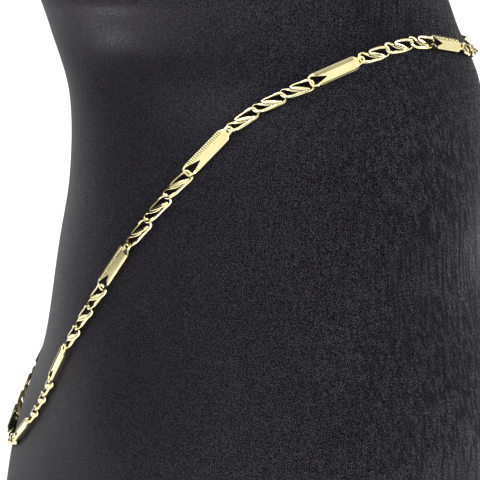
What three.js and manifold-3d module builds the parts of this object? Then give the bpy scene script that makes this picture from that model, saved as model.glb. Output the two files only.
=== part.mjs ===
// A figaro-pattern chain necklace, closed round a plain neck bust.
// Millimetres, +Z up. The origin is the middle of the bust's flat base and the bust faces -Y.
// One repeat of the chain is three short scroll links and one long plate link.

import * as THREE from 'three';
import { mergeVertices } from 'three/addons/utils/BufferGeometryUtils.js';
import Module from 'manifold-3d';

const wasm = await Module();
wasm.setup();

// Chain: distances from joint to joint, counts and section of the wire
const shortPitch = 7.2;
const longPitch = 13.2;
const linksPerTrio = 3;
const nearRepeats = 7;         // repeats from the throat to the clasp by way of the +X side
const farRepeats = 6;          // repeats from the throat to the clasp by way of the -X side
const linkWidth = 3.2;
const wireWidth = 0.8;
const wireThickness = 0.7;
const wireSides = 5;
const bowThinning = 0.75;      // share of the wire's section left at the bows of a link
const bowLength = 0.3;         // distance from a link's end over which its bow keeps that section
const bowGap = 0.3;            // clear space between two links that hang in each other
const fusedOverlap = 0.2;      // depth to which the links of one trio are joined
const endTwist = THREE.MathUtils.degToRad(36);
const twistStart = 2.6;        // the twist runs between these distances from a link's end
const twistEnd = 0.7;
const chainLift = 1.6;         // from the bust's surface to the middle of the chain

// Plan of a link's shoulder: distance back from the end, share of the half width
const shoulder = [
  { back: 0.26, share: 0.55 },
  { back: 0.95, share: 0.85 },
  { back: 2.1, share: 1.0 },
];

// The strand that crosses a short link's window, from its upper side to its lower side
const strand = { width: 1.0, thickness: 0.6, fromX: -2.1, toX: 1.7 };

// The plate between the sides of a long link, measured from the link's middle; its left edge is slanted
const plate = { thickness: 0.9, leftTop: -5.2, leftBottom: -2.5, right: 4.6 };

// The plain clasp body, measured like the plate; it stands out from the bust by raise
const claspBody = { thickness: 2.2, width: 4.2, halfLength: 5.8, corner: 1.0, raise: 0.8 };

// Horizontal sections of the bust: height above the base, half width, reach to front and back from the
// neck's axis, and squareness (2 is an ellipse)
const bustSections = [
  { height: 0, halfWidth: 92.4, front: 68.0, back: 66.0, squareness: 2.24 },
  { height: 30, halfWidth: 90.4, front: 66.0, back: 68.0, squareness: 2.24 },
  { height: 60, halfWidth: 84.4, front: 61.9, back: 71.0, squareness: 2.19 },
  { height: 90, halfWidth: 83.9, front: 51.9, back: 72.0, squareness: 2.09 },
  { height: 120, halfWidth: 68.5, front: 46.1, back: 63.2, squareness: 2.25 },
  { height: 140, halfWidth: 61.8, front: 42.4, back: 62.7, squareness: 2.25 },
  { height: 160, halfWidth: 52.8, front: 42.3, back: 59.8, squareness: 2.10 },
  { height: 175, halfWidth: 40.9, front: 46.9, back: 53.1, squareness: 2.05 },
  { height: 189, halfWidth: 41.4, front: 50.6, back: 48.0, squareness: 2.05 },
  { height: 206, halfWidth: 41.8, front: 51.6, back: 43.5, squareness: 2.05 },
];
const neckTopFront = 189;      // height of the slanted neck top at the throat and at the nape
const neckTopBack = 206;
const neckRim = 7;             // rounding round the neck top
const baseRim = 3;             // rounding round the base
const bustSides = 40;
const bustRings = 16;
const rimSteps = 2;
const slopeTurn = 0.01;        // steps, in radians and millimetres, over which the surface's slope is taken
const slopeRise = 0.5;

// The chain's way round the neck: angle from the nape in degrees, positive towards +X, and height above the
// base; the first and last rows repeat a neighbour across the throat, so that the way is smooth there
const chainRoute = [
  { angle: -195, height: 62.2 },
  { angle: -180, height: 58.5 },
  { angle: -165, height: 59.2 },
  { angle: -150, height: 68.9 },
  { angle: -135, height: 92.1 },
  { angle: -120, height: 116.2 },
  { angle: -105, height: 135.6 },
  { angle: -90, height: 149.4 },
  { angle: -60, height: 159.5 },
  { angle: -30, height: 162.0 },
  { angle: -15, height: 163.5 },
  { angle: 0, height: 167.3 },
  { angle: 15, height: 172.3 },
  { angle: 30, height: 176.7 },
  { angle: 45, height: 176.3 },
  { angle: 60, height: 172.8 },
  { angle: 75, height: 169.4 },
  { angle: 90, height: 163.1 },
  { angle: 105, height: 147.3 },
  { angle: 120, height: 121.6 },
  { angle: 135, height: 94.0 },
  { angle: 150, height: 72.7 },
  { angle: 165, height: 62.2 },
  { angle: 180, height: 58.5 },
  { angle: 195, height: 59.2 },
];

const throatJoint = THREE.MathUtils.degToRad(181.4);   // angle of the joint nearest to the throat's middle
const longestStep = 0.6;       // angle, in radians, within which the next joint lies
const stepHalvings = 50;

const gold = { color: 0xd8ac4c, roughness: 0.18, metalness: 1 };
const blackLeather = { color: 0x17171b, roughness: 0.55, metalness: 0 };

// A smooth value through the rows of a table: at is the running column, column the one that is read
function tableValue(rows, at, column, x) {
  const last = rows.length - 1;
  let i = 0;
  while (i < last - 1 && rows[i + 1][at] < x) {
    i += 1;
  }
  const slope = (k) => {
    const a = rows[Math.max(k - 1, 0)];
    const b = rows[Math.min(k + 1, last)];
    return (b[column] - a[column]) / (b[at] - a[at]);
  };
  const span = rows[i + 1][at] - rows[i][at];
  const t = (x - rows[i][at]) / span;
  const blend = t * t * (3 - 2 * t);
  return rows[i][column] + (rows[i + 1][column] - rows[i][column]) * blend
    + span * t * (1 - t) * ((1 - t) * slope(i) - t * slope(i + 1));
}

// A point of the bust's surface: angle is 0 at the nape, pi at the throat, positive towards +X
function bustPoint(angle, height) {
  const row = (column) => tableValue(bustSections, 'height', column, height);
  const across = Math.sin(angle);
  const along = Math.cos(angle);
  const depth = along > 0 ? row('back') : row('front');
  const power = row('squareness');
  const reach = Math.abs(across / row('halfWidth')) ** power + Math.abs(along / depth) ** power;
  const radius = reach ** (-1 / power);
  return new THREE.Vector3(radius * across, radius * along, height);
}

function bustNormal(angle, height) {
  const around = bustPoint(angle + slopeTurn, height).sub(bustPoint(angle - slopeTurn, height));
  const upward = bustPoint(angle, height + slopeRise).sub(bustPoint(angle, height - slopeRise));
  return upward.cross(around).normalize();
}

// Height of the slanted neck top above a point of the section
function neckTop(angle) {
  return (neckTopFront + neckTopBack) / 2 + (neckTopBack - neckTopFront) / 2 * Math.cos(angle);
}

// Rings of the bust from the base's edge to the neck top's edge: a share of the height, plus a rounding that
// draws the ring in and moves it up or down
function bustRingTable() {
  const rings = [];
  for (let k = 0; k <= rimSteps; k += 1) {
    const turn = (k / rimSteps) * Math.PI / 2;
    rings.push({ share: 0, inset: baseRim * (1 - Math.sin(turn)), rise: baseRim * (1 - Math.cos(turn)) });
  }
  for (let k = 1; k < bustRings; k += 1) {
    rings.push({ share: k / bustRings, inset: 0, rise: 0 });
  }
  for (let k = 0; k <= rimSteps; k += 1) {
    const turn = (k / rimSteps) * Math.PI / 2;
    rings.push({ share: 1, inset: neckRim * (1 - Math.cos(turn)), rise: neckRim * (Math.sin(turn) - 1) });
  }
  return rings;
}

function bustGeometry() {
  const positions = [];
  const faces = [];
  const rings = bustRingTable();
  for (const ring of rings) {
    for (let side = 0; side < bustSides; side += 1) {
      const angle = (side / bustSides) * 2 * Math.PI;
      const height = ring.share * neckTop(angle) + ring.rise;
      const point = bustPoint(angle, height);
      const flat = Math.hypot(point.x, point.y);
      const keep = (flat - ring.inset) / flat;
      positions.push(point.x * keep, point.y * keep, height);
    }
  }
  for (let r = 0; r < rings.length - 1; r += 1) {
    for (let side = 0; side < bustSides; side += 1) {
      const a = r * bustSides + side;
      const b = r * bustSides + (side + 1) % bustSides;
      faces.push(a, a + bustSides, b, b, a + bustSides, b + bustSides);
    }
  }
  const baseMiddle = positions.length / 3;
  positions.push(0, 0, 0);
  const topMiddle = baseMiddle + 1;
  positions.push(0, 0, (neckTopFront + neckTopBack) / 2);
  const topRing = (rings.length - 1) * bustSides;
  for (let side = 0; side < bustSides; side += 1) {
    const next = (side + 1) % bustSides;
    faces.push(baseMiddle, side, next);
    faces.push(topMiddle, topRing + next, topRing + side);
  }
  return indexedGeometry(positions, faces);
}

function indexedGeometry(positions, faces) {
  const geometry = new THREE.BufferGeometry();
  geometry.setAttribute('position', new THREE.Float32BufferAttribute(positions, 3));
  geometry.setIndex(faces);
  return geometry;
}

function solidOf(geometry) {
  const bare = geometry.clone();
  bare.deleteAttribute('normal');
  bare.deleteAttribute('uv');
  const merged = mergeVertices(bare);
  return new wasm.Manifold(new wasm.Mesh({
    numProp: 3,
    vertProperties: new Float32Array(merged.attributes.position.array),
    triVerts: new Uint32Array(merged.index.array),
  }));
}

function geometryOf(solid) {
  const mesh = solid.getMesh();
  return indexedGeometry(Array.from(mesh.vertProperties), Array.from(mesh.triVerts));
}

// Distance from a joint to the middle of the bow that hooks over it
const freeReach = (wireWidth * bowThinning + bowGap) / 2;
const fusedReach = (wireWidth * bowThinning - fusedOverlap) / 2;

// Roll of a link's wire at x: full towards each end, opposite at the two ends, none in the middle
function rollAt(x, left, right) {
  const fromEnd = x > 0 ? right - x : x - left;
  const share = THREE.MathUtils.smoothstep(twistStart - fromEnd, 0, twistStart - twistEnd);
  return Math.sign(x) * endTwist * share;
}

// Stations of a link's closed wire: from the right end over the upper side to the left end and back below
function linkStations(left, right, halfWidth) {
  const upper = [];
  for (const row of shoulder) {
    upper.push({ x: right - row.back, y: halfWidth * row.share });
  }
  for (const row of [...shoulder].reverse()) {
    upper.push({ x: left + row.back, y: halfWidth * row.share });
  }
  const lower = [...upper].reverse().map((point) => ({ x: point.x, y: -point.y }));
  return [{ x: right, y: 0 }, ...upper, { x: left, y: 0 }, ...lower];
}

// The closed wire of one link, lying along x with its face towards +z
function linkWire(left, right, width) {
  const flat = linkStations(left, right, (width - wireWidth) / 2);
  const points = flat.map(({ x, y }) => {
    const roll = rollAt(x, left, right);
    return new THREE.Vector3(x, y * Math.cos(roll), y * Math.sin(roll));
  });
  const count = points.length;
  const positions = [];
  const faces = [];
  for (let i = 0; i < count; i += 1) {
    const roll = rollAt(flat[i].x, left, right);
    const ahead = points[(i + 1) % count].clone().sub(points[(i + count - 1) % count]).normalize();
    const face = new THREE.Vector3(0, -Math.sin(roll), Math.cos(roll));
    const outward = ahead.clone().cross(face).normalize();
    const up = outward.clone().cross(ahead);
    const fromEnd = Math.min(right - flat[i].x, flat[i].x - left);
    const full = THREE.MathUtils.smoothstep(fromEnd, bowLength, twistStart);
    const thin = THREE.MathUtils.lerp(bowThinning, 1, full);
    for (let side = 0; side < wireSides; side += 1) {
      const turn = ((side + 0.5) / wireSides) * 2 * Math.PI;
      const corner = points[i].clone()
        .addScaledVector(outward, Math.cos(turn) * thin * wireWidth / 2)
        .addScaledVector(up, Math.sin(turn) * thin * wireThickness / 2);
      positions.push(corner.x, corner.y, corner.z);
    }
  }
  for (let i = 0; i < count; i += 1) {
    for (let side = 0; side < wireSides; side += 1) {
      const a = i * wireSides + side;
      const b = i * wireSides + (side + 1) % wireSides;
      const c = ((i + 1) % count) * wireSides + side;
      const d = ((i + 1) % count) * wireSides + (side + 1) % wireSides;
      faces.push(a, c, b, b, c, d);
    }
  }
  return solidOf(indexedGeometry(positions, faces));
}

// A short scroll link: the wire with one strand slanting across its window
function shortLink(leftReach, rightReach) {
  const wire = linkWire(-shortPitch / 2 - leftReach, shortPitch / 2 + rightReach, linkWidth);
  const rise = linkWidth - wireWidth;
  const run = strand.toX - strand.fromX;
  const bar = new THREE.BoxGeometry(Math.hypot(run, rise), strand.width, strand.thickness);
  bar.rotateZ(-Math.atan2(rise, run));
  bar.translate((strand.fromX + strand.toX) / 2, 0, 0);
  return wire.add(solidOf(bar));
}

// A flat slab between the sides of a link
function slab(outline, thickness) {
  const shape = new THREE.Shape(outline.map(([x, y]) => new THREE.Vector2(x, y)));
  const geometry = new THREE.ExtrudeGeometry(shape, { depth: thickness, bevelEnabled: false });
  geometry.translate(0, 0, -thickness / 2);
  return solidOf(geometry);
}

// A long plate link: the wire with a plate that leaves a wedge window at the left end
function plateLink() {
  const half = longPitch / 2 + freeReach;
  const wire = linkWire(-half, half, linkWidth);
  const edge = (linkWidth - wireWidth) / 2;
  const outline = [
    [plate.leftBottom, -edge],
    [plate.right, -edge],
    [plate.right, edge],
    [plate.leftTop, edge],
  ];
  return wire.add(slab(outline, plate.thickness));
}

// The clasp: a plain body with an eye at each end for the last link
function clasp(pitch) {
  const half = pitch / 2 + freeReach;
  const wire = linkWire(-half, half, linkWidth);
  const { halfLength, corner } = claspBody;
  const edge = claspBody.width / 2;
  const outline = [
    [-halfLength, -edge + corner],
    [-halfLength + corner, -edge],
    [halfLength - corner, -edge],
    [halfLength, -edge + corner],
    [halfLength, edge - corner],
    [halfLength - corner, edge],
    [-halfLength + corner, edge],
    [-halfLength, edge - corner],
  ];
  return wire.add(slab(outline, claspBody.thickness).translate(0, 0, claspBody.raise));
}

function routeHeight(angle) {
  return tableValue(chainRoute, 'angle', 'height', THREE.MathUtils.radToDeg(angle));
}

// A point of the chain's middle line at an angle round the neck, lifted clear of the bust
function routePoint(angle) {
  const height = routeHeight(angle);
  return bustPoint(angle, height).addScaledVector(bustNormal(angle, height), chainLift);
}

function routeNormal(angle) {
  return bustNormal(angle, routeHeight(angle));
}

// The angle at which the route is one pitch away from a joint; turn is 1 towards +X and -1 the other way
function nextJoint(angle, turn, pitch) {
  const from = routePoint(angle);
  let near = angle;
  let far = angle + turn * longestStep;
  for (let halving = 0; halving < stepHalvings; halving += 1) {
    const middle = (near + far) / 2;
    if (routePoint(middle).distanceTo(from) < pitch) {
      near = middle;
    } else {
      far = middle;
    }
  }
  return (near + far) / 2;
}

// Joints of the chain from the throat towards the nape, one after each pitch
function jointAngles(start, turn, pitches) {
  const angles = [start];
  for (const pitch of pitches) {
    angles.push(nextJoint(angles[angles.length - 1], turn, pitch));
  }
  return angles;
}

// The frame of a link between two joints: x along the chain, z away from the bust
function linkFrame(fromAngle, toAngle) {
  const from = routePoint(fromAngle);
  const to = routePoint(toAngle);
  const along = to.clone().sub(from).normalize();
  const out = routeNormal(fromAngle).add(routeNormal(toAngle));
  out.addScaledVector(along, -out.dot(along)).normalize();
  const across = out.clone().cross(along);
  const frame = new THREE.Matrix4().makeBasis(along, across, out);
  return frame.setPosition(from.add(to).multiplyScalar(0.5));
}

function meshAt(name, geometry, frame, finish) {
  const mesh = new THREE.Mesh(geometry, new THREE.MeshStandardMaterial(finish));
  mesh.name = name;
  mesh.position.setFromMatrixPosition(frame);
  mesh.quaternion.setFromRotationMatrix(frame);
  geometry.computeVertexNormals();
  return mesh;
}

// Three short links joined in one body, in the frame of the middle one
function trio(frames) {
  const home = frames[1].clone().invert();
  const ends = [[freeReach, fusedReach], [fusedReach, fusedReach], [fusedReach, freeReach]];
  const links = frames.map((frame, k) => {
    const placed = home.clone().multiply(frame);
    return shortLink(...ends[k]).transform(placed.elements);
  });
  return links[0].add(links[1]).add(links[2]);
}

// The whole loop, from the throat over the +X side to the clasp and on over the -X side to the throat
function chainGroup() {
  const group = new THREE.Group();
  const short = Array(linksPerTrio).fill(shortPitch);
  const nearPitches = Array(nearRepeats).fill([longPitch, ...short]).flat();
  const farPitches = Array(farRepeats).fill([...short, longPitch]).flat();
  const near = jointAngles(throatJoint, -1, nearPitches);
  const far = jointAngles(throatJoint - 2 * Math.PI, 1, farPitches);
  const joints = [...near, ...far.reverse()];
  const frames = [];
  for (let k = 0; k < joints.length - 1; k += 1) {
    frames.push(linkFrame(joints[k], joints[k + 1]));
  }
  let k = 0;
  for (let repeat = 1; repeat <= nearRepeats + farRepeats; repeat += 1) {
    const number = String(repeat).padStart(2, '0');
    group.add(meshAt(`plate_link_${number}`, geometryOf(plateLink()), frames[k], gold));
    const three = frames.slice(k + 1, k + 1 + linksPerTrio);
    group.add(meshAt(`scroll_trio_${number}`, geometryOf(trio(three)), three[1], gold));
    k += 1 + linksPerTrio;
    if (repeat === nearRepeats) {
      const pitch = routePoint(joints[k]).distanceTo(routePoint(joints[k + 1]));
      group.add(meshAt('clasp', geometryOf(clasp(pitch)), frames[k], gold));
      k += 1;
    }
  }
  return group;
}

const necklace = new THREE.Group();
necklace.add(meshAt('neck_bust', bustGeometry(), new THREE.Matrix4(), blackLeather));
necklace.add(chainGroup());

export default necklace;
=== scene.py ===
import math

import bmesh
import bpy
import numpy as np
from mathutils import Matrix, Vector


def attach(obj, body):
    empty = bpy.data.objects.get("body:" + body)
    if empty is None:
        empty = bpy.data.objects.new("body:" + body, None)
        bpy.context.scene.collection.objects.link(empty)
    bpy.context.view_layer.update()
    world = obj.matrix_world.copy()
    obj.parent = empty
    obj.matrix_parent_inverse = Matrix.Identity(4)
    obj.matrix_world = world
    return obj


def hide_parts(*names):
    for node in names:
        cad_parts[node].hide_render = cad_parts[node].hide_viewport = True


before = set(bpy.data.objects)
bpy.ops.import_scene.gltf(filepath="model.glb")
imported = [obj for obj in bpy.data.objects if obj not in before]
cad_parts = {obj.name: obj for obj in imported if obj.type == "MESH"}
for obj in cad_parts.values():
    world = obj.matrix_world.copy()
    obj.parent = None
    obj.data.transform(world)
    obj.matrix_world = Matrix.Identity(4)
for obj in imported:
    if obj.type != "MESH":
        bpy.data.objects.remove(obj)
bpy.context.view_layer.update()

mm = 0.001

# camera: the photo's view of the bust's left side, worked out from the spacing of the links

camera = {
    "azimuth": 92.91,
    "elevation": 24.01,
    "distance": 377.87 * mm,
    "targetHeight": 115 * mm,
    "focalPixels": 1429.45,
    "imagePixels": 480,
    "sensor": 36.0,
    "clip": (0.01, 20.0),
}


def makeCamera():
    turn = math.radians(camera["azimuth"])
    lift = math.radians(camera["elevation"])
    back = Vector((math.sin(turn) * math.cos(lift), -math.cos(turn) * math.cos(lift), math.sin(lift)))
    data = bpy.data.cameras.new("photoCamera")
    data.sensor_width = camera["sensor"]
    data.lens = camera["focalPixels"] / camera["imagePixels"] * camera["sensor"]
    data.clip_start, data.clip_end = camera["clip"]
    eye = bpy.data.objects.new("photoCamera", data)
    eye.location = Vector((0, 0, camera["targetHeight"])) + back * camera["distance"]
    eye.rotation_euler = (-back).to_track_quat("-Z", "Y").to_euler()
    bpy.context.scene.collection.objects.link(eye)
    bpy.context.scene.camera = eye
    print("camera placed")


makeCamera()


# small helpers

def smoothColumn(rows, column, x):
    # a smooth value through the rows of a table, whose first column is x
    table = np.array(rows, float)
    at, value = table[:, 0], table[:, column]
    slope = np.empty(len(at))
    slope[1:-1] = (value[2:] - value[:-2]) / (at[2:] - at[:-2])
    slope[0] = (value[1] - value[0]) / (at[1] - at[0])
    slope[-1] = (value[-1] - value[-2]) / (at[-1] - at[-2])
    x = np.asarray(x, float)
    i = np.clip(np.searchsorted(at, x) - 1, 0, len(at) - 2)
    span = at[i + 1] - at[i]
    t = (x - at[i]) / span
    blend = t * t * (3 - 2 * t)
    bow = span * t * (1 - t) * ((1 - t) * slope[i] - t * slope[i + 1])
    return value[i] + (value[i + 1] - value[i]) * blend + bow


def smoothStep(x, low, high):
    t = np.clip((np.asarray(x, float) - low) / (high - low), 0, 1)
    return t * t * (3 - 2 * t)


def signedPower(value, power):
    return np.sign(value) * np.abs(value) ** power


def ringFaces(rings, sides, closed=False):
    # quads between rings of points that follow each other
    faces = []
    for i in range(rings if closed else rings - 1):
        j = (i + 1) % rings
        for k in range(sides):
            n = (k + 1) % sides
            faces.append((i * sides + k, j * sides + k, j * sides + n, i * sides + n))
    return faces


def meshObject(name, points, faces, scale=mm, unshaded=None):
    mesh = bpy.data.meshes.new(name)
    mesh.from_pydata((np.asarray(points, float) * scale).tolist(), [], faces)
    mesh.update()
    # the share of plain gold at each point, against painted shade
    if unshaded is not None:
        bright = mesh.attributes.new("unshaded", "FLOAT", "POINT")
        bright.data.foreach_set("value", np.asarray(unshaded, float))
    made = bpy.data.objects.new(name, mesh)
    bpy.context.scene.collection.objects.link(made)
    return made


def cleanPoints(mesh, merge=None):
    # joins points closer than merge and drops those that no face uses
    work = bmesh.new()
    work.from_mesh(mesh)
    if merge is not None:
        bmesh.ops.remove_doubles(work, verts=work.verts, dist=merge)
    bmesh.ops.delete(work, geom=[v for v in work.verts if not v.link_faces], context="VERTS")
    work.to_mesh(mesh)
    work.free()


def shade(mesh, sharpAngle=None):
    mesh.polygons.foreach_set("use_smooth", [True] * len(mesh.polygons))
    if sharpAngle is not None:
        mesh.set_sharp_from_angle(angle=math.radians(sharpAngle))
    mesh.update()


# materials

def newMaterial(name):
    made = bpy.data.materials.new(name)
    made.use_nodes = True
    nodes = made.node_tree.nodes
    return made, nodes, made.node_tree.links, nodes["Principled BSDF"]


def noiseOver(nodes, links, where, scale, detail):
    node = nodes.new("ShaderNodeTexNoise")
    node.inputs["Scale"].default_value = scale
    node.inputs["Detail"].default_value = detail
    links.new(where, node.inputs["Vector"])
    return node


def mapRange(nodes, links, source, low, high, start=0.0, end=1.0, smooth=False):
    # source from start to end becomes low to high
    node = nodes.new("ShaderNodeMapRange")
    if smooth:
        node.interpolation_type = "SMOOTHSTEP"
    for name, value in (("From Min", start), ("From Max", end), ("To Min", low), ("To Max", high)):
        node.inputs[name].default_value = value
    links.new(source, node.inputs["Value"])
    return node.outputs["Result"]


def mixColour(nodes, links, factor, first, second):
    # first and second are plain colours or sockets
    node = nodes.new("ShaderNodeMix")
    node.data_type = "RGBA"
    links.new(factor, node.inputs[0])
    for socket, colour in ((node.inputs[6], first), (node.inputs[7], second)):
        if isinstance(colour, tuple):
            socket.default_value = (*colour, 1)
        else:
            links.new(colour, socket)
    return node.outputs[2]


def mixValue(nodes, links, factor, plain, source):
    node = nodes.new("ShaderNodeMix")
    node.inputs[2].default_value = plain
    links.new(factor, node.inputs[0])
    links.new(source, node.inputs[3])
    return node.outputs[0]


def multiply(nodes, links, first, second):
    node = nodes.new("ShaderNodeMath")
    node.operation = "MULTIPLY"
    links.new(first, node.inputs[0])
    links.new(second, node.inputs[1])
    return node.outputs["Value"]


def bumpFrom(nodes, links, height, distance, strength=1.0, under=None):
    node = nodes.new("ShaderNodeBump")
    node.inputs["Strength"].default_value = strength
    node.inputs["Distance"].default_value = distance
    links.new(height, node.inputs["Height"])
    if under is not None:
        links.new(under, node.inputs["Normal"])
    return node.outputs["Normal"]


mottleMasks = {
    "kinds": (("Patches", "Patch scale", 4.0), ("Speckle", "Speckle scale", 2.0)),    # mask, input, detail
    "roughness": 0.55,
    "spread": (0.3, 0.7),                   # noise values at 0 and at 1 of a mask
}


def makeMottle():
    # slow patches and fine speckle over a surface, as masks from 0 to 1
    group = bpy.data.node_groups.new("handledMottle", "ShaderNodeTree")
    for mask, scaleName, _ in mottleMasks["kinds"]:
        group.interface.new_socket(scaleName, in_out="INPUT", socket_type="NodeSocketFloat")
        group.interface.new_socket(mask, in_out="OUTPUT", socket_type="NodeSocketFloat")
    nodes, links = group.nodes, group.links
    into = nodes.new("NodeGroupInput")
    out = nodes.new("NodeGroupOutput")
    where = nodes.new("ShaderNodeTexCoord")
    for mask, scaleName, detail in mottleMasks["kinds"]:
        noise = noiseOver(nodes, links, where.outputs["Object"], 1.0, detail)
        noise.inputs["Roughness"].default_value = mottleMasks["roughness"]
        links.new(into.outputs[scaleName], noise.inputs["Scale"])
        spread = mapRange(nodes, links, noise.outputs["Fac"], 0.0, 1.0, *mottleMasks["spread"])
        links.new(spread, out.inputs[mask])
    return group


mottle = makeMottle()


def placeMottle(nodes, patchScale, speckleScale):
    node = nodes.new("ShaderNodeGroup")
    node.node_tree = mottle
    node.inputs["Patch scale"].default_value = patchScale
    node.inputs["Speckle scale"].default_value = speckleScale
    return node


goldFinish = {
    "pale": (1.0, 0.92, 0.55),
    "deep": (0.92, 0.81, 0.40),
    "paintedShade": (0.07, 0.045, 0.012),        # painted shade on the sides of the wire and below it
    "roughLow": 0.04,
    "roughHigh": 0.13,
    "patchScale": 160.0,
    "speckleScale": 2600.0,
    "scratch": 0.05,
    "scratchDepth": 0.02 * mm,
}


def makeGold():
    s = goldFinish
    made, nodes, links, shader = newMaterial("polishedGold")
    shader.inputs["Metallic"].default_value = 1.0
    wear = placeMottle(nodes, s["patchScale"], s["speckleScale"])
    worn = mixColour(nodes, links, wear.outputs["Patches"], s["pale"], s["deep"])
    # painted shade: where the attribute on the links is low, the gold turns to a near-black painted shade,
    # on the sides and undersides of the wires and plates and at the feet of the ribs
    unshaded = nodes.new("ShaderNodeAttribute")
    unshaded.attribute_name = "unshaded"
    tint = mixColour(nodes, links, unshaded.outputs["Fac"], s["paintedShade"], worn)
    links.new(tint, shader.inputs["Base Color"])
    rough = mapRange(nodes, links, wear.outputs["Speckle"], s["roughLow"], s["roughHigh"])
    links.new(rough, shader.inputs["Roughness"])
    scratches = bumpFrom(nodes, links, wear.outputs["Speckle"], s["scratchDepth"], s["scratch"])
    links.new(scratches, shader.inputs["Normal"])
    return made


leatherFinish = {
    # the pebbles' colours: dark crevices as painted shade, pale crowns as painted highlight
    "paintedCreviceShade": (0.0014, 0.0012, 0.0019),
    "crown": (0.0290, 0.0268, 0.0365),
    "sheen": (0.86, 0.80, 1.0),             # a cool tint of its shine
    "roughCrevice": 0.62,
    "roughCrown": 0.34,
    "gloss": 0.04,
    "lacquer": 0.64,                        # weight of the smooth top coat on the crowns
    "lacquerRough": 0.38,
    "lacquerCrease": 1.4,                   # more of it on the creases, by this factor
    "grain": 0.22 * mm,                     # size of the pebbles
    "grainDetail": 1.0,
    "grainLow": 0.47,                       # noise values at the foot and the crown of a pebble
    "grainHigh": 0.66,
    "grainDepth": 0.20 * mm,
    "grainFront": 0.35,                     # its contrast at the throat; the painted highlight and painted shade of the pebbles weaken towards the front
    "grainEven": 0.42,                      # the even tone that the rest of the contrast turns into
    "grainFadeTo": -45 * mm,
    "grainyFrom": 30 * mm,
    "creaseDepth": 0.9 * mm,
    "creaseDetail": 2.0,
    "creasePerMetre": (950, 950, 75),       # creases run up and down, close beside each other
    "creaseLow": 0.42,                      # noise values at the bottom and the ridge of a crease
    "creaseHigh": 0.56,
    "creaseStart": 5 * mm,                  # they begin behind the neck's middle and deepen to the back
    "creaseFull": 50 * mm,
    "creaseSides": 38 * mm,                 # they are full this far to either side
    "creaseBack": 0.25,                     # and have this share of their depth down the middle of the back
    "creaseShade": 0.70,                    # painted shade in the creases darkens the pebbles by this share
    "patchScale": 30.0,
    "patchShade": 0.75,                     # tone of the darkest patches
    "speckleScale": 1500.0,
}


def makeLeather():
    s = leatherFinish
    made, nodes, links, shader = newMaterial("blackLeatherette")
    shader.inputs["Specular Tint"].default_value = (*s["sheen"], 1)
    shader.inputs["Specular IOR Level"].default_value = s["gloss"]
    shader.inputs["Coat Roughness"].default_value = s["lacquerRough"]
    where = nodes.new("ShaderNodeTexCoord").outputs["Object"]
    place = nodes.new("ShaderNodeSeparateXYZ")
    links.new(where, place.inputs["Vector"])
    # upright stretch creases towards the back, bumped and with painted shade in their bottoms
    stretch = nodes.new("ShaderNodeMapping")
    stretch.inputs["Scale"].default_value = s["creasePerMetre"]
    links.new(where, stretch.inputs["Vector"])
    crease = noiseOver(nodes, links, stretch.outputs["Vector"], 1.0, s["creaseDetail"]).outputs["Fac"]
    deep = mapRange(nodes, links, place.outputs["Y"], 0.0, 1.0, s["creaseStart"], s["creaseFull"])
    aside = nodes.new("ShaderNodeMath")
    aside.operation = "ABSOLUTE"
    links.new(place.outputs["X"], aside.inputs[0])
    sides = mapRange(nodes, links, aside.outputs["Value"], s["creaseBack"], 1.0, 0.0, s["creaseSides"])
    depth = multiply(nodes, links, deep, sides)
    shaded = 1 - s["creaseShade"]
    ridge = mapRange(nodes, links, crease, shaded, 1.0, s["creaseLow"], s["creaseHigh"], smooth=True)
    lit = mixValue(nodes, links, depth, 1.0, ridge)
    # fine pebbles: smooth crowns painted pale as a painted highlight, and dull hollows between them painted
    # dark as painted shade
    pebbles = noiseOver(nodes, links, where, 1 / s["grain"], s["grainDetail"]).outputs["Fac"]
    crown = mapRange(nodes, links, pebbles, 0.0, 1.0, s["grainLow"], s["grainHigh"], smooth=True)
    grainy = mapRange(nodes, links, place.outputs["Y"], s["grainFront"], 1.0, s["grainFadeTo"], s["grainyFrom"])
    speck = mixValue(nodes, links, grainy, s["grainEven"], crown)
    wear = placeMottle(nodes, s["patchScale"], s["speckleScale"])
    patches = mapRange(nodes, links, wear.outputs["Patches"], s["patchShade"], 1.0)
    # the colour carries painted highlight and painted shade on the pebbles and painted shade in the creases,
    # over the random tone of the patches
    pale = multiply(nodes, links, multiply(nodes, links, speck, lit), patches)
    # colour, roughness and lacquer follow the pebbles
    links.new(mixColour(nodes, links, pale, s["paintedCreviceShade"], s["crown"]), shader.inputs["Base Color"])
    rough = mapRange(nodes, links, pale, s["roughCrevice"], s["roughCrown"])
    links.new(rough, shader.inputs["Roughness"])
    lacquer = mapRange(nodes, links, pale, 0.0, s["lacquer"])
    polish = multiply(nodes, links, lacquer, mapRange(nodes, links, depth, 1.0, s["lacquerCrease"]))
    links.new(polish, shader.inputs["Coat Weight"])
    grain = bumpFrom(nodes, links, crown, s["grainDepth"])
    creases = bumpFrom(nodes, links, multiply(nodes, links, crease, depth), s["creaseDepth"], under=grain)
    links.new(creases, shader.inputs["Normal"])
    links.new(creases, shader.inputs["Coat Normal"])
    return made


gold = makeGold()
leather = makeLeather()
print("materials made")


# the bust: the same sections as its solid, in millimetres

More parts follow.
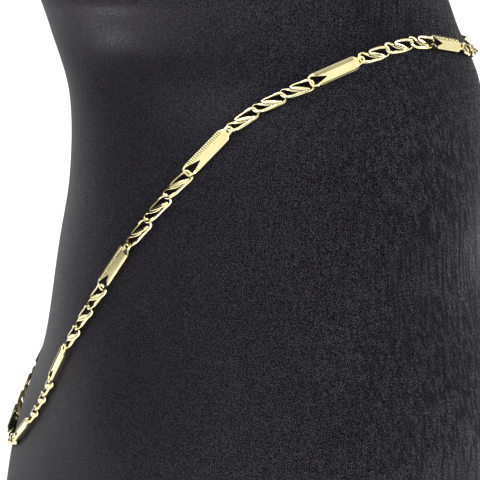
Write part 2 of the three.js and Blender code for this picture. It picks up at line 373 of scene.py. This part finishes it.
bust = {
    # height, half width, reach to the front, reach to the back, squareness
    "sections": [
        (0, 92.4, 68.0, 66.0, 2.24),
        (30, 90.4, 66.0, 68.0, 2.24),
        (60, 84.4, 61.9, 71.0, 2.19),
        (90, 83.9, 51.9, 72.0, 2.09),
        (120, 68.5, 46.1, 63.2, 2.25),
        (140, 61.8, 42.4, 62.7, 2.25),
        (160, 52.8, 42.3, 59.8, 2.10),
        (175, 40.9, 46.9, 53.1, 2.05),
        (189, 41.4, 50.6, 48.0, 2.05),
        (206, 41.8, 51.6, 43.5, 2.05),
    ],
    "neckTopFront": 189,
    "neckTopBack": 206,
    "neckRim": 7,
    "baseRim": 3,
    "sides": 200,
    "rings": 150,
    "rimSteps": 8,
    "topRings": 5,              # rings across the flat top
    "topShare": 0.75,           # size of the first of them
}


def bustPoint(angle, height):
    halfWidth, front, back, power = (smoothColumn(bust["sections"], k, height) for k in (1, 2, 3, 4))
    across, along = np.sin(angle), np.cos(angle)
    depth = np.where(along > 0, back, front)
    radius = (np.abs(across / halfWidth) ** power + np.abs(along / depth) ** power) ** (-1 / power)
    return np.stack([radius * across, radius * along, height + 0 * radius], -1)


def bustNormal(angle, height, turn=0.01, rise=0.5):
    around = bustPoint(angle + turn, height) - bustPoint(angle - turn, height)
    upward = bustPoint(angle, height + rise) - bustPoint(angle, height - rise)
    normal = np.cross(upward, around)
    return normal / np.linalg.norm(normal, axis=-1, keepdims=True)


def bustPlan(top):
    # a row for each ring, from the base up: share of the height, inset, rise and size on the flat top
    steps = np.linspace(0, math.pi / 2, bust["rimSteps"])
    base, neck = bust["baseRim"], bust["neckRim"]
    plan = [(0, base * (1 - math.sin(t)), base * (1 - math.cos(t)), 1) for t in steps]
    low, high = base / top, 1 - neck / top
    plan += [(low + (high - low) * share, 0, 0, 1) for share in np.linspace(0, 1, bust["rings"])[1:-1]]
    plan += [(1, neck * (1 - math.cos(t)), neck * (math.sin(t) - 1), 1) for t in steps]
    sizes = np.linspace(bust["topShare"], 0, bust["topRings"], endpoint=False)
    plan += [(1, neck, 0, size) for size in sizes]
    return plan


def makeBust():
    angles = np.linspace(0, 2 * math.pi, bust["sides"], endpoint=False)
    middle = (bust["neckTopFront"] + bust["neckTopBack"]) / 2
    top = middle + (bust["neckTopBack"] - bust["neckTopFront"]) / 2 * np.cos(angles)
    rings = []
    for share, inset, rise, size in bustPlan(top):
        height = share * top + rise
        ring = bustPoint(angles, height)
        flat = np.hypot(ring[:, 0], ring[:, 1])
        ring[:, :2] *= ((flat - inset) / flat * size)[:, None]
        ring[:, 2] = middle + (height - middle) * size
        rings.append(ring)
    count = bust["sides"]
    points = np.concatenate(rings + [np.array([[0, 0, 0], [0, 0, middle]])])
    faces = ringFaces(len(rings), count)
    last = (len(rings) - 1) * count
    bottom, crown = len(points) - 2, len(points) - 1
    for k in range(count):
        n = (k + 1) % count
        faces.append((bottom, k, n))
        faces.append((crown, last + n, last + k))
    made = meshObject("leatherBust", points, faces)
    shade(made.data)
    made.data.materials.append(leather)
    return made


leatherBust = makeBust()
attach(leatherBust, "root")
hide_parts("neck_bust")
print("bust made")


# the chain's way round the neck and the frame of each link, in millimetres

chain = {
    "shortPitch": 7.2,
    "longPitch": 13.2,
    "nearRepeats": 7,
    "farRepeats": 6,
    "trio": 3,
    "lift": 1.6,
    # the links lie this much nearer to the bust than the joints
    "settle": {"short": 0.8, "long": 0.4, "clasp": 0},
    "hanging": 5,               # links of the far strand before the throat that stand on edge
    "hangingRoll": 48,          # their roll, in degrees
    "rollOver": 6.5,            # links, from the first of those on, after which the roll has faded
    "rollFade": 2,              # links over which it fades
    "hangingEdge": (1.6, 0.38),     # half width and half thickness of a link whose edge touches the bust
    "unshadedEdge": (0.66, 1.04),   # heights on the wire's section between which the painted shade on its sides gives way to the plain gold
    "unshadedUnder": 0.6,           # share of the plain gold on the underside, the rest painted shade
    "squareness": 0.6,          # of the wire's section, 1 for an oval
    "reach": 0.3,               # from a joint to the middle of the bow that hooks over it
    "twistStart": 2.6,
    "twistEnd": 0.7,
    "throatJoint": 181.4,
    "longestStep": 0.6,
    "halvings": 50,
    # angle from the nape, positive towards +X, and height above the base
    "route": [
        (-195, 62.2), (-180, 58.5), (-165, 59.2), (-150, 68.9), (-135, 92.1), (-120, 116.2),
        (-105, 135.6), (-90, 149.4), (-60, 159.5), (-30, 162.0), (-15, 163.5), (0, 167.3), (15, 172.3),
        (30, 176.7), (45, 176.3), (60, 172.8), (75, 169.4), (90, 163.1), (105, 147.3), (120, 121.6),
        (135, 94.0), (150, 72.7), (165, 62.2), (180, 58.5), (195, 59.2),
    ],
}


def routeHeight(angle):
    return smoothColumn(chain["route"], 1, math.degrees(angle))


def routePoint(angle):
    height = routeHeight(angle)
    return bustPoint(angle, height) + chain["lift"] * bustNormal(angle, height)


def nextJoint(angle, turn, pitch):
    # halves the step from a joint until the route is one pitch away from it
    point = routePoint(angle)
    near, far = angle, angle + turn * chain["longestStep"]
    for _ in range(chain["halvings"]):
        middle = (near + far) / 2
        if np.linalg.norm(routePoint(middle) - point) < pitch:
            near = middle
        else:
            far = middle
    return (near + far) / 2


def jointAngles(start, turn, pitches):
    angles = [start]
    for pitch in pitches:
        angles.append(nextJoint(angles[-1], turn, pitch))
    return angles


def linkFrame(start, end, settle, roll):
    first, second = routePoint(start), routePoint(end)
    length = np.linalg.norm(second - first)
    along = (second - first) / length
    out = bustNormal(start, routeHeight(start)) + bustNormal(end, routeHeight(end))
    out = out - along * out.dot(along)
    out /= np.linalg.norm(out)
    place = (first + second) / 2 - settle * out
    across = np.cross(out, along)
    c, s = math.cos(math.radians(roll)), math.sin(math.radians(roll))
    turn = Matrix(np.stack([along, across * c + out * s, out * c - across * s], 1).tolist())
    return place, turn.to_euler(), length


def hangingRoll(order):
    # roll of a link, by its order from the first link that stands on edge
    share = (chain["rollOver"] - order) / chain["rollFade"]
    return chain["hangingRoll"] * min(1, max(0, share))


def hangingSettle(roll):
    # brings the edge of a rolled link to the bust
    halfWidth, halfThick = chain["hangingEdge"]
    lean = math.radians(roll)
    return chain["lift"] - halfWidth * math.sin(lean) - halfThick * math.cos(lean)


def strungFrames():
    short, long = [chain["shortPitch"]] * chain["trio"], [chain["longPitch"]]
    start = math.radians(chain["throatJoint"])
    near = jointAngles(start, -1, (long + short) * chain["nearRepeats"])
    far = jointAngles(start - 2 * math.pi, 1, (short + long) * chain["farRepeats"])
    joints = near + far[::-1]
    repeat = ["long"] + ["short"] * chain["trio"]
    kinds = repeat * chain["nearRepeats"] + ["clasp"] + repeat * chain["farRepeats"]
    frames = {"short": [], "long": [], "clasp": []}
    for k, kind in enumerate(kinds):
        roll = hangingRoll((k + chain["hanging"]) % len(kinds))
        settle = hangingSettle(roll) if roll > 0 else chain["settle"][kind]
        frames[kind].append(linkFrame(joints[k], joints[k + 1], settle, roll))
    return frames["short"], frames["long"], frames["clasp"]


shortFrames, longFrames, claspFrames = strungFrames()
print("chain strung:", len(shortFrames), "scroll links,", len(longFrames), "plate links")


def twistEnds(points, half, twist):
    # rolls each end of a link about its length, one end each way, so that flat links hang in each other
    x, y, z = points[:, 0], points[:, 1], points[:, 2]
    fromEnd = half - np.abs(x)
    share = smoothStep(chain["twistStart"] - fromEnd, 0, chain["twistStart"] - chain["twistEnd"])
    roll = np.sign(x) * math.radians(twist) * share
    turned = np.stack([x, y * np.cos(roll) - z * np.sin(roll), y * np.sin(roll) + z * np.cos(roll)], 1)
    return turned, roll


def sweepWire(way, width, thick, half, twist, dome=0, sides=12, closed=False):
    # a flattened wire along way, with its flat towards +z; width and thick are full sizes at each point, and
    # the flats lean outwards by dome degrees at the widest place
    points, roll = twistEnds(way, half, twist)
    if closed:
        ahead = np.roll(points, -1, 0) - np.roll(points, 1, 0)
    else:
        ahead = np.gradient(points, axis=0)
    ahead /= np.linalg.norm(ahead, axis=1, keepdims=True)
    lean = roll - math.radians(dome) * way[:, 1] / np.abs(way[:, 1]).max()
    face = np.stack([0 * lean, -np.sin(lean), np.cos(lean)], 1)
    outward = np.cross(ahead, face)
    outward /= np.linalg.norm(outward, axis=1, keepdims=True)
    up = np.cross(outward, ahead)
    turn = (np.arange(sides) + 0.5) / sides * 2 * math.pi
    c, s = (signedPower(v, chain["squareness"]) for v in (np.cos(turn), np.sin(turn)))
    rings = (points[:, None, :]
             + outward[:, None, :] * (width[:, None] / 2 * c)[..., None]
             + up[:, None, :] * (thick[:, None] / 2 * s)[..., None])
    count = len(points)
    faces = ringFaces(count, sides, closed)
    if not closed:
        faces.append(tuple(range(sides)))
        faces.append(tuple(reversed(range((count - 1) * sides, count * sides))))
    # painted shade down the sides of the wire and, in part, on its underside
    above, below = (smoothStep(v, *chain["unshadedEdge"]) for v in (s, -s))
    unshaded = np.tile(above + chain["unshadedUnder"] * below, count)
    return rings.reshape(-1, 3), faces, unshaded


def smoothWay(rows, steps, closed=False):
    # a curve through the rows of a table, steps points for each row
    table = np.array(rows, float)
    if closed:
        padded = np.concatenate([table[-1:], table, table[:2]])
        spans = len(table)
    else:
        padded = np.concatenate([2 * table[:1] - table[1:2], table, 2 * table[-1:] - table[-2:-1]])
        spans = len(table) - 1
    out = []
    for i in range(spans):
        p0, p1, p2, p3 = padded[i:i + 4]
        for t in np.arange(steps) / steps:
            out.append(0.5 * (2 * p1 + (p2 - p0) * t + (2 * p0 - 5 * p1 + 4 * p2 - p3) * t ** 2
                              + (3 * p1 - p0 - 3 * p2 + p3) * t ** 3))
    if not closed:
        out.append(table[-1])
    return np.array(out)


# a scroll link: one wire, from the free end of its lower strand round the link to the end of its upper one

scrollLink = {
    "thick": 0.76,
    "tip": 0.5,                 # share of the thickness at the wire's two ends
    "twist": 22,                # roll of each end, in degrees
    "dome": 22,
    "steps": 4,
    "yaw": -5,                  # each link lies a little askew in the chain
    "sharp": 50,
    # along, across, layer, width
    "way": [
        (1.90, -0.98, -0.10, 0.40), (0.80, -0.62, -0.14, 0.76), (-0.60, -0.12, -0.15, 0.90),
        (-1.70, 0.40, -0.12, 0.86), (-2.45, 0.78, -0.05, 0.74), (-3.00, 0.98, 0, 0.68),
        (-3.55, 0.92, 0, 0.66), (-3.92, 0.58, 0, 0.64), (-4.04, 0.06, 0, 0.64), (-3.98, -0.48, 0, 0.64),
        (-3.70, -0.92, 0, 0.66), (-3.10, -1.12, 0, 0.74), (-2.20, -1.16, 0, 0.80), (0, -1.16, 0, 0.84),
        (2.20, -1.14, 0, 0.80), (3.10, -1.10, 0, 0.72), (3.70, -0.90, 0, 0.66), (3.98, -0.46, 0, 0.64),
        (4.04, 0.10, 0, 0.64), (3.90, 0.60, 0, 0.64), (3.45, 0.96, 0, 0.66), (2.75, 1.10, 0, 0.70),
        (1.60, 1.14, 0.02, 0.74), (0.40, 1.14, 0.04, 0.72), (-0.60, 1.08, 0.08, 0.66),
        (-1.15, 0.90, 0.13, 0.62), (-1.20, 0.62, 0.17, 0.66), (-0.80, 0.38, 0.19, 0.80),
        (0.30, -0.04, 0.19, 1.02), (1.30, -0.42, 0.15, 1.00), (2.20, -0.68, 0.09, 0.76),
        (3.00, -0.72, 0.02, 0.42),
    ],
}


def makeScrollLink():
    s = scrollLink
    way = smoothWay(s["way"], s["steps"])
    half = chain["shortPitch"] / 2 + chain["reach"]
    way[:, 0] *= half / way[:, 0].max()
    thick = np.full(len(way), s["thick"])
    thick[[0, -1]] *= s["tip"]
    points, faces, unshaded = sweepWire(way[:, :3], way[:, 3], thick, half, s["twist"], s["dome"])
    askew = np.array(Matrix.Rotation(math.radians(s["yaw"]), 3, "Z"))
    made = meshObject("scrollLink", points @ askew.T, faces, scale=1, unshaded=unshaded)
    shade(made.data, s["sharp"])
    return made


# a plate link: a stamped plate with a wedge window at its left end and a tongue with an eye at its right end

plateLink = {
    "halfLength": 7.2,
    "halfWidth": 1.6,
    "twist": 9,
    "under": -0.34,
    "face": 0.42,
    "edge": 0.26,               # height of the rim outside the bevels
    "bevel": 0.95,              # width of the upper bevel, which carries the ribs
    "lowBevel": 0.32,
    "bevelFade": (-0.7, 0.1),   # the bevels begin between these places beside the first rib
    "endDrop": 0.05,            # the ends are thinner by this much on either side
    "endRound": 0.5,
    "stations": 60,             # even cuts along the plate, besides those at its corners
    "leastCut": 0.045,
    "lowRows": (0, 0.06, 0.4, 0.7, 1),      # shares of the way from the lower rim to the middle strip
    "stripRows": (1 / 3, 2 / 3),
    "highRows": (0, 0.3, 0.6, 0.90, 1),     # shares of the way from the strip to the upper rim
    "strip": 0.3,               # half width of the strip, as a share of the plate's
    "sharp": 24,
    "ribs": 20,
    "ribSpacing": 0.50,
    "ribWidth": 0.50,
    "ribRise": 0.11,
    "ribStart": -5.0,
    "ribInset": 0.03,           # from the upper rim
    "ribSeat": 0.01,            # above the rim
    "ribStations": 4,
    "ribArch": (0.18, 0.82),    # part of a half wave that its crest follows
    "ribSharp": 40,
    # share of the width, drop, share of the rise, share of plain gold against painted shade
    "ribSection": [(-0.5, 0.06, 0, 0.05), (-0.44, 0, 0, 0.35), (0, 0, 1, 0.85), (0.44, 0, 0, 0.35),
                   (0.5, 0.06, 0, 0.05)],
    # along, half width of the outline
    "outline": [
        (-7.20, 0.60), (-7.08, 0.98), (-6.85, 1.24), (-6.40, 1.46), (-5.70, 1.57), (-4.60, 1.60),
        (0, 1.60), (4.20, 1.60), (4.70, 1.54), (5.15, 1.24), (5.55, 0.92), (6.20, 0.86), (6.85, 0.82),
        (7.06, 0.66), (7.20, 0.38),
    ],
    # along, lower and upper edge of a hole through the plate
    "window": [(-6.76, -0.55, 0.55), (-6.58, -0.90, 0.90), (-6.20, -1.10, 1.02), (-5.60, -1.12, 0.86),
               (-3.10, -0.40, 0.00), (-2.80, -0.26, -0.14)],
    "eye": [(5.65, -0.20, 0.10), (5.90, -0.42, 0.40), (6.45, -0.44, 0.44), (6.72, -0.24, 0.26)],
}


def plateCuts(outline, holes):
    # places along the plate at which it is cut into cells, to a hundredth
    even = np.linspace(-plateLink["halfLength"], plateLink["halfLength"], plateLink["stations"])
    corners = [table[:, 0] for table in (outline, *holes)]
    cuts = np.unique(np.round(np.concatenate(corners + [even]), 2))
    return cuts[np.concatenate([[True], np.diff(cuts) > plateLink["leastCut"]])]


def makePlateSheet():
    s = plateLink
    outline = np.array(s["outline"])
    holes = [np.array(s["window"]), np.array(s["eye"])]
    xs = plateCuts(outline, holes)
    half = np.interp(xs, outline[:, 0], outline[:, 1])
    # lower and upper edge of the middle strip, which is left out where a hole is
    isOpen = np.zeros(len(xs), bool)
    low, high = -s["strip"] * half, s["strip"] * half
    for edges in holes:
        inside = (np.round(xs - edges[0, 0], 6) >= 0) & (np.round(xs - edges[-1, 0], 6) <= 0)
        low[inside] = np.interp(xs[inside], edges[:, 0], edges[:, 1])
        high[inside] = np.interp(xs[inside], edges[:, 0], edges[:, 2])
        isOpen |= inside
    rows = [-half + (low + half) * v for v in s["lowRows"]]
    rows += [low + (high - low) * v for v in s["stripRows"]]
    rows += [high + (half - high) * v for v in s["highRows"]]
    grid = np.stack(rows, 1)
    count = grid.shape[1]
    # the upper face with its bevels, and the plain underside
    fromEdge = half[:, None] - np.abs(grid)
    narrowing = np.minimum(1, half / s["halfWidth"])[:, None] ** 2
    bevel = np.where(grid > 0, s["bevel"], s["lowBevel"]) * narrowing
    ribbed = smoothStep(xs - s["ribStart"], *s["bevelFade"])[:, None]
    crown = s["face"] - ribbed * (s["face"] - s["edge"]) * (1 - np.clip(fromEdge / bevel, 0, 1))
    fromEnd = s["halfLength"] - np.abs(xs)
    endDrop = s["endDrop"] * (1 - smoothStep(fromEnd, 0, s["endRound"]))[:, None]
    top = np.stack([np.repeat(xs[:, None], count, 1), grid, crown - endDrop], -1)
    under = top.copy()
    under[..., 2] = s["under"] + endDrop
    points = np.concatenate([top.reshape(-1, 3), under.reshape(-1, 3)])
    size = len(xs) * count
    stripStart = len(s["lowRows"]) - 1
    stripEnd = stripStart + len(s["stripRows"]) + 1
    cells = set()
    for i in range(len(xs) - 1):
        for k in range(count - 1):
            if not (stripStart <= k < stripEnd and isOpen[i] and isOpen[i + 1]):
                cells.add((i, k))
    faces = []
    for i, k in sorted(cells):
        a, b = i * count + k, (i + 1) * count + k
        c, d = b + 1, a + 1
        faces.append((a, b, c, d))
        faces.append((a + size, d + size, c + size, b + size))
        sides = (((i, k - 1), a, b), ((i + 1, k), b, c), ((i, k + 1), c, d), ((i - 1, k), d, a))
        for beside, first, second in sides:
            if beside not in cells:
                faces.append((second, first, first + size, second + size))
    points, _ = twistEnds(points, chain["longPitch"] / 2 + chain["reach"], s["twist"])
    # painted shade on the underside of the plate
    made = meshObject("plateSheet", points, faces, scale=1, unshaded=np.repeat([1, chain["unshadedUnder"]], size))
    cleanPoints(made.data)
    shade(made.data, s["sharp"])
    return made


def groupInput(tree, modifier, name, value):
    for item in tree.interface.items_tree:
        if item.item_type == "SOCKET" and item.in_out == "INPUT" and item.name == name:
            modifier[item.identifier] = value


def treeOf(name, sockets):
    tree = bpy.data.node_groups.new(name, "GeometryNodeTree")
    tree.interface.new_socket("Geometry", in_out="INPUT", socket_type="NodeSocketGeometry")
    for label, kind in sockets:
        tree.interface.new_socket(label, in_out="INPUT", socket_type="NodeSocket" + kind)
    tree.interface.new_socket("Geometry", in_out="OUTPUT", socket_type="NodeSocketGeometry")
    return tree, tree.nodes.new("NodeGroupInput"), tree.nodes.new("NodeGroupOutput")


def finishTree(tree, into, out, geometry):
    # the last two nodes of a tree: plain geometry, all of one metal
    real = tree.nodes.new("GeometryNodeRealizeInstances")
    metal = tree.nodes.new("GeometryNodeSetMaterial")
    tree.links.new(geometry, real.inputs["Geometry"])
    tree.links.new(real.outputs["Geometry"], metal.inputs["Geometry"])
    tree.links.new(into.outputs["Metal"], metal.inputs["Material"])
    tree.links.new(metal.outputs["Geometry"], out.inputs["Geometry"])


def ribTree():
    # a row of ribs along x, from a rib that stands at the start of the row
    sockets = [("Rib", "Object"), ("Ribs", "Int"), ("Spacing", "Float"), ("Metal", "Material")]
    tree, into, out = treeOf("milledRibs", sockets)
    nodes, links = tree.nodes, tree.links
    step = nodes.new("ShaderNodeCombineXYZ")
    row = nodes.new("GeometryNodeMeshLine")
    rib = nodes.new("GeometryNodeObjectInfo")
    put = nodes.new("GeometryNodeInstanceOnPoints")
    join = nodes.new("GeometryNodeJoinGeometry")
    links.new(into.outputs["Spacing"], step.inputs["X"])
    links.new(into.outputs["Ribs"], row.inputs["Count"])
    links.new(step.outputs["Vector"], row.inputs["Offset"])
    links.new(into.outputs["Rib"], rib.inputs["Object"])
    links.new(row.outputs["Mesh"], put.inputs["Points"])
    links.new(rib.outputs["Geometry"], put.inputs["Instance"])
    links.new(put.outputs["Instances"], join.inputs["Geometry"])
    links.new(into.outputs["Geometry"], join.inputs["Geometry"])
    finishTree(tree, into, out, join.outputs["Geometry"])
    return tree


def stringTree():
    # one link on each point, turned as the point's linkTurn says
    tree, into, out = treeOf("strungLinks", [("Link", "Object"), ("Size", "Float"), ("Metal", "Material")])
    nodes, links = tree.nodes, tree.links
    link = nodes.new("GeometryNodeObjectInfo")
    turn = nodes.new("GeometryNodeInputNamedAttribute")
    turn.data_type = "FLOAT_VECTOR"
    turn.inputs["Name"].default_value = "linkTurn"
    euler = nodes.new("FunctionNodeEulerToRotation")
    size = nodes.new("ShaderNodeCombineXYZ")
    put = nodes.new("GeometryNodeInstanceOnPoints")
    links.new(into.outputs["Link"], link.inputs["Object"])
    links.new(turn.outputs["Attribute"], euler.inputs["Euler"])
    for axis in "XYZ":
        links.new(into.outputs["Size"], size.inputs[axis])
    links.new(into.outputs["Geometry"], put.inputs["Points"])
    links.new(link.outputs["Geometry"], put.inputs["Instance"])
    links.new(euler.outputs["Rotation"], put.inputs["Rotation"])
    links.new(size.outputs["Vector"], put.inputs["Scale"])
    finishTree(tree, into, out, put.outputs["Instances"])
    return tree


def realized(holder, tree, settings, name):
    # runs a tree on holder and keeps the result as a plain mesh of its own
    modifier = holder.modifiers.new(tree.name, "NODES")
    modifier.node_group = tree
    for label, value in settings.items():
        groupInput(tree, modifier, label, value)
    graph = bpy.context.evaluated_depsgraph_get()
    mesh = bpy.data.meshes.new_from_object(holder.evaluated_get(graph))
    mesh.name = name
    made = bpy.data.objects.new(name, mesh)
    bpy.context.scene.collection.objects.link(made)
    bpy.data.objects.remove(holder)
    return made


def makeRib():
    # a small ridge down the upper bevel of the plate, with a peaked section
    s = plateLink
    outer, inner = s["halfWidth"] - s["ribInset"], s["halfWidth"] - s["bevel"]
    low, high = s["edge"] + s["ribSeat"], s["face"]
    archStart, archEnd = s["ribArch"]
    points, unshaded = [], []
    # painted shade at the feet of the rib, less of it towards its crest
    for t in np.linspace(0, 1, s["ribStations"]):
        y, z = outer + (inner - outer) * t, low + (high - low) * t
        rise = s["ribRise"] * math.sin(math.pi * (archStart + (archEnd - archStart) * t))
        for across, drop, share, bright in s["ribSection"]:
            points.append((s["ribStart"] + across * s["ribWidth"], y, z - drop + share * rise))
            unshaded.append(bright)
    sides = len(s["ribSection"])
    faces = ringFaces(s["ribStations"], sides)
    faces += [tuple(range(sides)), tuple(reversed(range(len(points) - sides, len(points))))]
    made = meshObject("plateRib", points, faces, scale=1, unshaded=unshaded)
    shade(made.data, s["ribSharp"])
    return made


def makePlateLink(tree):
    rib = makeRib()
    sizes = {"Rib": rib, "Ribs": plateLink["ribs"], "Spacing": plateLink["ribSpacing"], "Metal": gold}
    made = realized(makePlateSheet(), tree, sizes, "plateLink")
    bpy.data.objects.remove(rib)
    return made


# the clasp: a plain cushion-shaped body over a loop of wire

claspPiece = {
    "length": 11.4,
    "width": 4.0,
    "thick": 2.2,
    "raise": 0.8,               # the body stands out from the bust
    "roundPlan": 0.55,          # powers of the cushion's outline, side and height, 1 for an egg
    "roundSide": 0.45,
    "roundHeight": 0.7,
    "around": 40,
    "layers": 20,
    "merge": 1e-4,
    "twist": 28,
    "wire": 0.62,
    "halfWidth": 1.2,
    "steps": 5,
    "sharp": 45,
    # back from the end, share of the half width
    "shoulder": [(0.26, 0.55), (0.95, 0.85), (2.1, 1.0)],
}


def claspCushion():
    s = claspPiece
    tilt = np.linspace(-math.pi / 2, math.pi / 2, s["layers"] + 1)[:, None]
    turn = np.linspace(0, 2 * math.pi, s["around"], endpoint=False)[None, :]
    ring = np.abs(np.cos(tilt)) ** s["roundSide"] / 2
    x = signedPower(np.cos(turn), s["roundPlan"]) * ring * s["length"]
    y = signedPower(np.sin(turn), s["roundPlan"]) * ring * s["width"]
    z = s["raise"] + signedPower(np.sin(tilt), s["roundHeight"]) * s["thick"] / 2 + 0 * turn
    faces = [tuple(reversed(face)) for face in ringFaces(s["layers"] + 1, s["around"])]
    return np.stack([x, y, z], -1).reshape(-1, 3), faces


def makeClasp(pitch):
    s = claspPiece
    half = pitch / 2 + chain["reach"]
    upper = [(half - back, s["halfWidth"] * share, 0) for back, share in s["shoulder"]]
    upper += [(-x, y, z) for x, y, z in reversed(upper)]
    loop = [(half, 0, 0)] + upper + [(-half, 0, 0)] + [(x, -y, z) for x, y, z in reversed(upper)]
    way = smoothWay(loop, s["steps"], closed=True)
    size = np.full(len(way), s["wire"])
    points, faces, unshaded = sweepWire(way, size, size, half, s["twist"], closed=True)
    body, bodyFaces = claspCushion()
    faces += [tuple(len(points) + v for v in face) for face in bodyFaces]
    # the cushion has no painted shade; the loop keeps that of its wire
    unshaded = np.concatenate([unshaded, np.ones(len(body))])
    made = meshObject("claspLink", np.concatenate([points, body]), faces, scale=1, unshaded=unshaded)
    cleanPoints(made.data, s["merge"])
    shade(made.data, s["sharp"])
    return made


def stringLinks(name, link, frames, tree):
    holder = meshObject(name + "Points", [place for place, _, _ in frames], [])
    turns = holder.data.attributes.new("linkTurn", "FLOAT_VECTOR", "POINT")
    turns.data.foreach_set("vector", np.array([list(turn) for _, turn, _ in frames], float).ravel())
    made = realized(holder, tree, {"Link": link, "Size": mm, "Metal": gold}, name)
    bpy.data.objects.remove(link)
    return made


def nodesNamed(start):
    return sorted(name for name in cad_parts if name.startswith(start))


ribs, strung = ribTree(), stringTree()
for name, link, frames, solids in (
    ("scrollLinks", makeScrollLink(), shortFrames, nodesNamed("scroll_trio")),
    ("plateLinks", makePlateLink(ribs), longFrames, nodesNamed("plate_link")),
    ("claspBody", makeClasp(claspFrames[0][2]), claspFrames, ["clasp"]),
):
    piece = stringLinks(name, link, frames, strung)
    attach(piece, "root")
    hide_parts(*solids)
    print(name, "made,", sum(len(p.vertices) - 2 for p in piece.data.polygons), "triangles")


# floor, lights and backdrop

studio = {
    "floorSize": 8.0,
    "floorTone": (0.93, 0.93, 0.92),
    "floorRough": 0.8,
    "walls": (0.05, 0.05, 0.055),
    "overhead": (1.06, 1.06, 1.06),         # a large soft glow above the front
    "overheadAim": (0.66, 0.13, 0.74),
    "overheadEdge": (0.52, 0.80),           # it fades between these shares of its aim
    # name, place, target, size, power, spread
    "lights": [
        ("backSoftbox", (-1.3, 0.1, 1.5), (-1.2, 0, 0), (2.4, 3.4), 40, 180),
        ("keySoftbox", (0.2, -0.6, 1.1), (0, 0, 0.13), (0.35, 0.35), 3, 180),
        ("glintSoftbox", (0.40, 1.00, 0.75), (0, 0, 0.15), (0.4, 0.3), 2, 180),
        ("floorSoftbox", (0.50, 0.00, 0.90), (0.50, 0.001, 0), (0.4, 0.4), 4, 60),
        ("sideSoftbox", (-0.10, 1.15, 0.60), (0, 0, 0.17), (0.45, 0.5), 1.8, 70),
        ("napeSoftbox", (-0.62, 1.06, 0.30), (0, 0.05, 0.17), (0.4, 0.4), 0.42, 180),
        ("bounceCard", (0.20, -0.42, 0.02), (0.02, -0.02, 0.235), (0.2, 0.2), 0.6, 20),
    ],
}


def areaLight(name, place, target, size, power, spread):
    data = bpy.data.lights.new(name, "AREA")
    data.shape = "RECTANGLE"
    data.size, data.size_y = size
    data.energy = power
    data.spread = math.radians(spread)
    lamp = bpy.data.objects.new(name, data)
    lamp.location = place
    lamp.rotation_euler = (Vector(target) - Vector(place)).to_track_quat("-Z", "Y").to_euler()
    bpy.context.scene.collection.objects.link(lamp)


def makeFloor():
    half = studio["floorSize"] / 2
    corners = [(-half, -half, 0), (half, -half, 0), (half, half, 0), (-half, half, 0)]
    floor = meshObject("floor", corners, [(0, 1, 2, 3)], scale=1)
    paper, _, _, shader = newMaterial("palePaper")
    shader.inputs["Base Color"].default_value = (*studio["floorTone"], 1)
    shader.inputs["Roughness"].default_value = studio["floorRough"]
    floor.data.materials.append(paper)


def makeRoom():
    room = bpy.data.worlds.new("studio")
    room.use_nodes = True
    nodes, links = room.node_tree.nodes, room.node_tree.links
    where = nodes.new("ShaderNodeTexCoord")
    aim = nodes.new("ShaderNodeVectorMath")
    aim.operation = "DOT_PRODUCT"
    aim.inputs[1].default_value = studio["overheadAim"]
    links.new(where.outputs["Generated"], aim.inputs[0])
    fade = mapRange(nodes, links, aim.outputs["Value"], 0.0, 1.0, *studio["overheadEdge"], smooth=True)
    glow = mixColour(nodes, links, fade, studio["walls"], studio["overhead"])
    links.new(glow, nodes["Background"].inputs["Color"])
    bpy.context.scene.world = room
    bpy.context.scene.view_settings.view_transform = "Standard"


makeFloor()
makeRoom()
for light in studio["lights"]:
    areaLight(*light)
print("studio made")
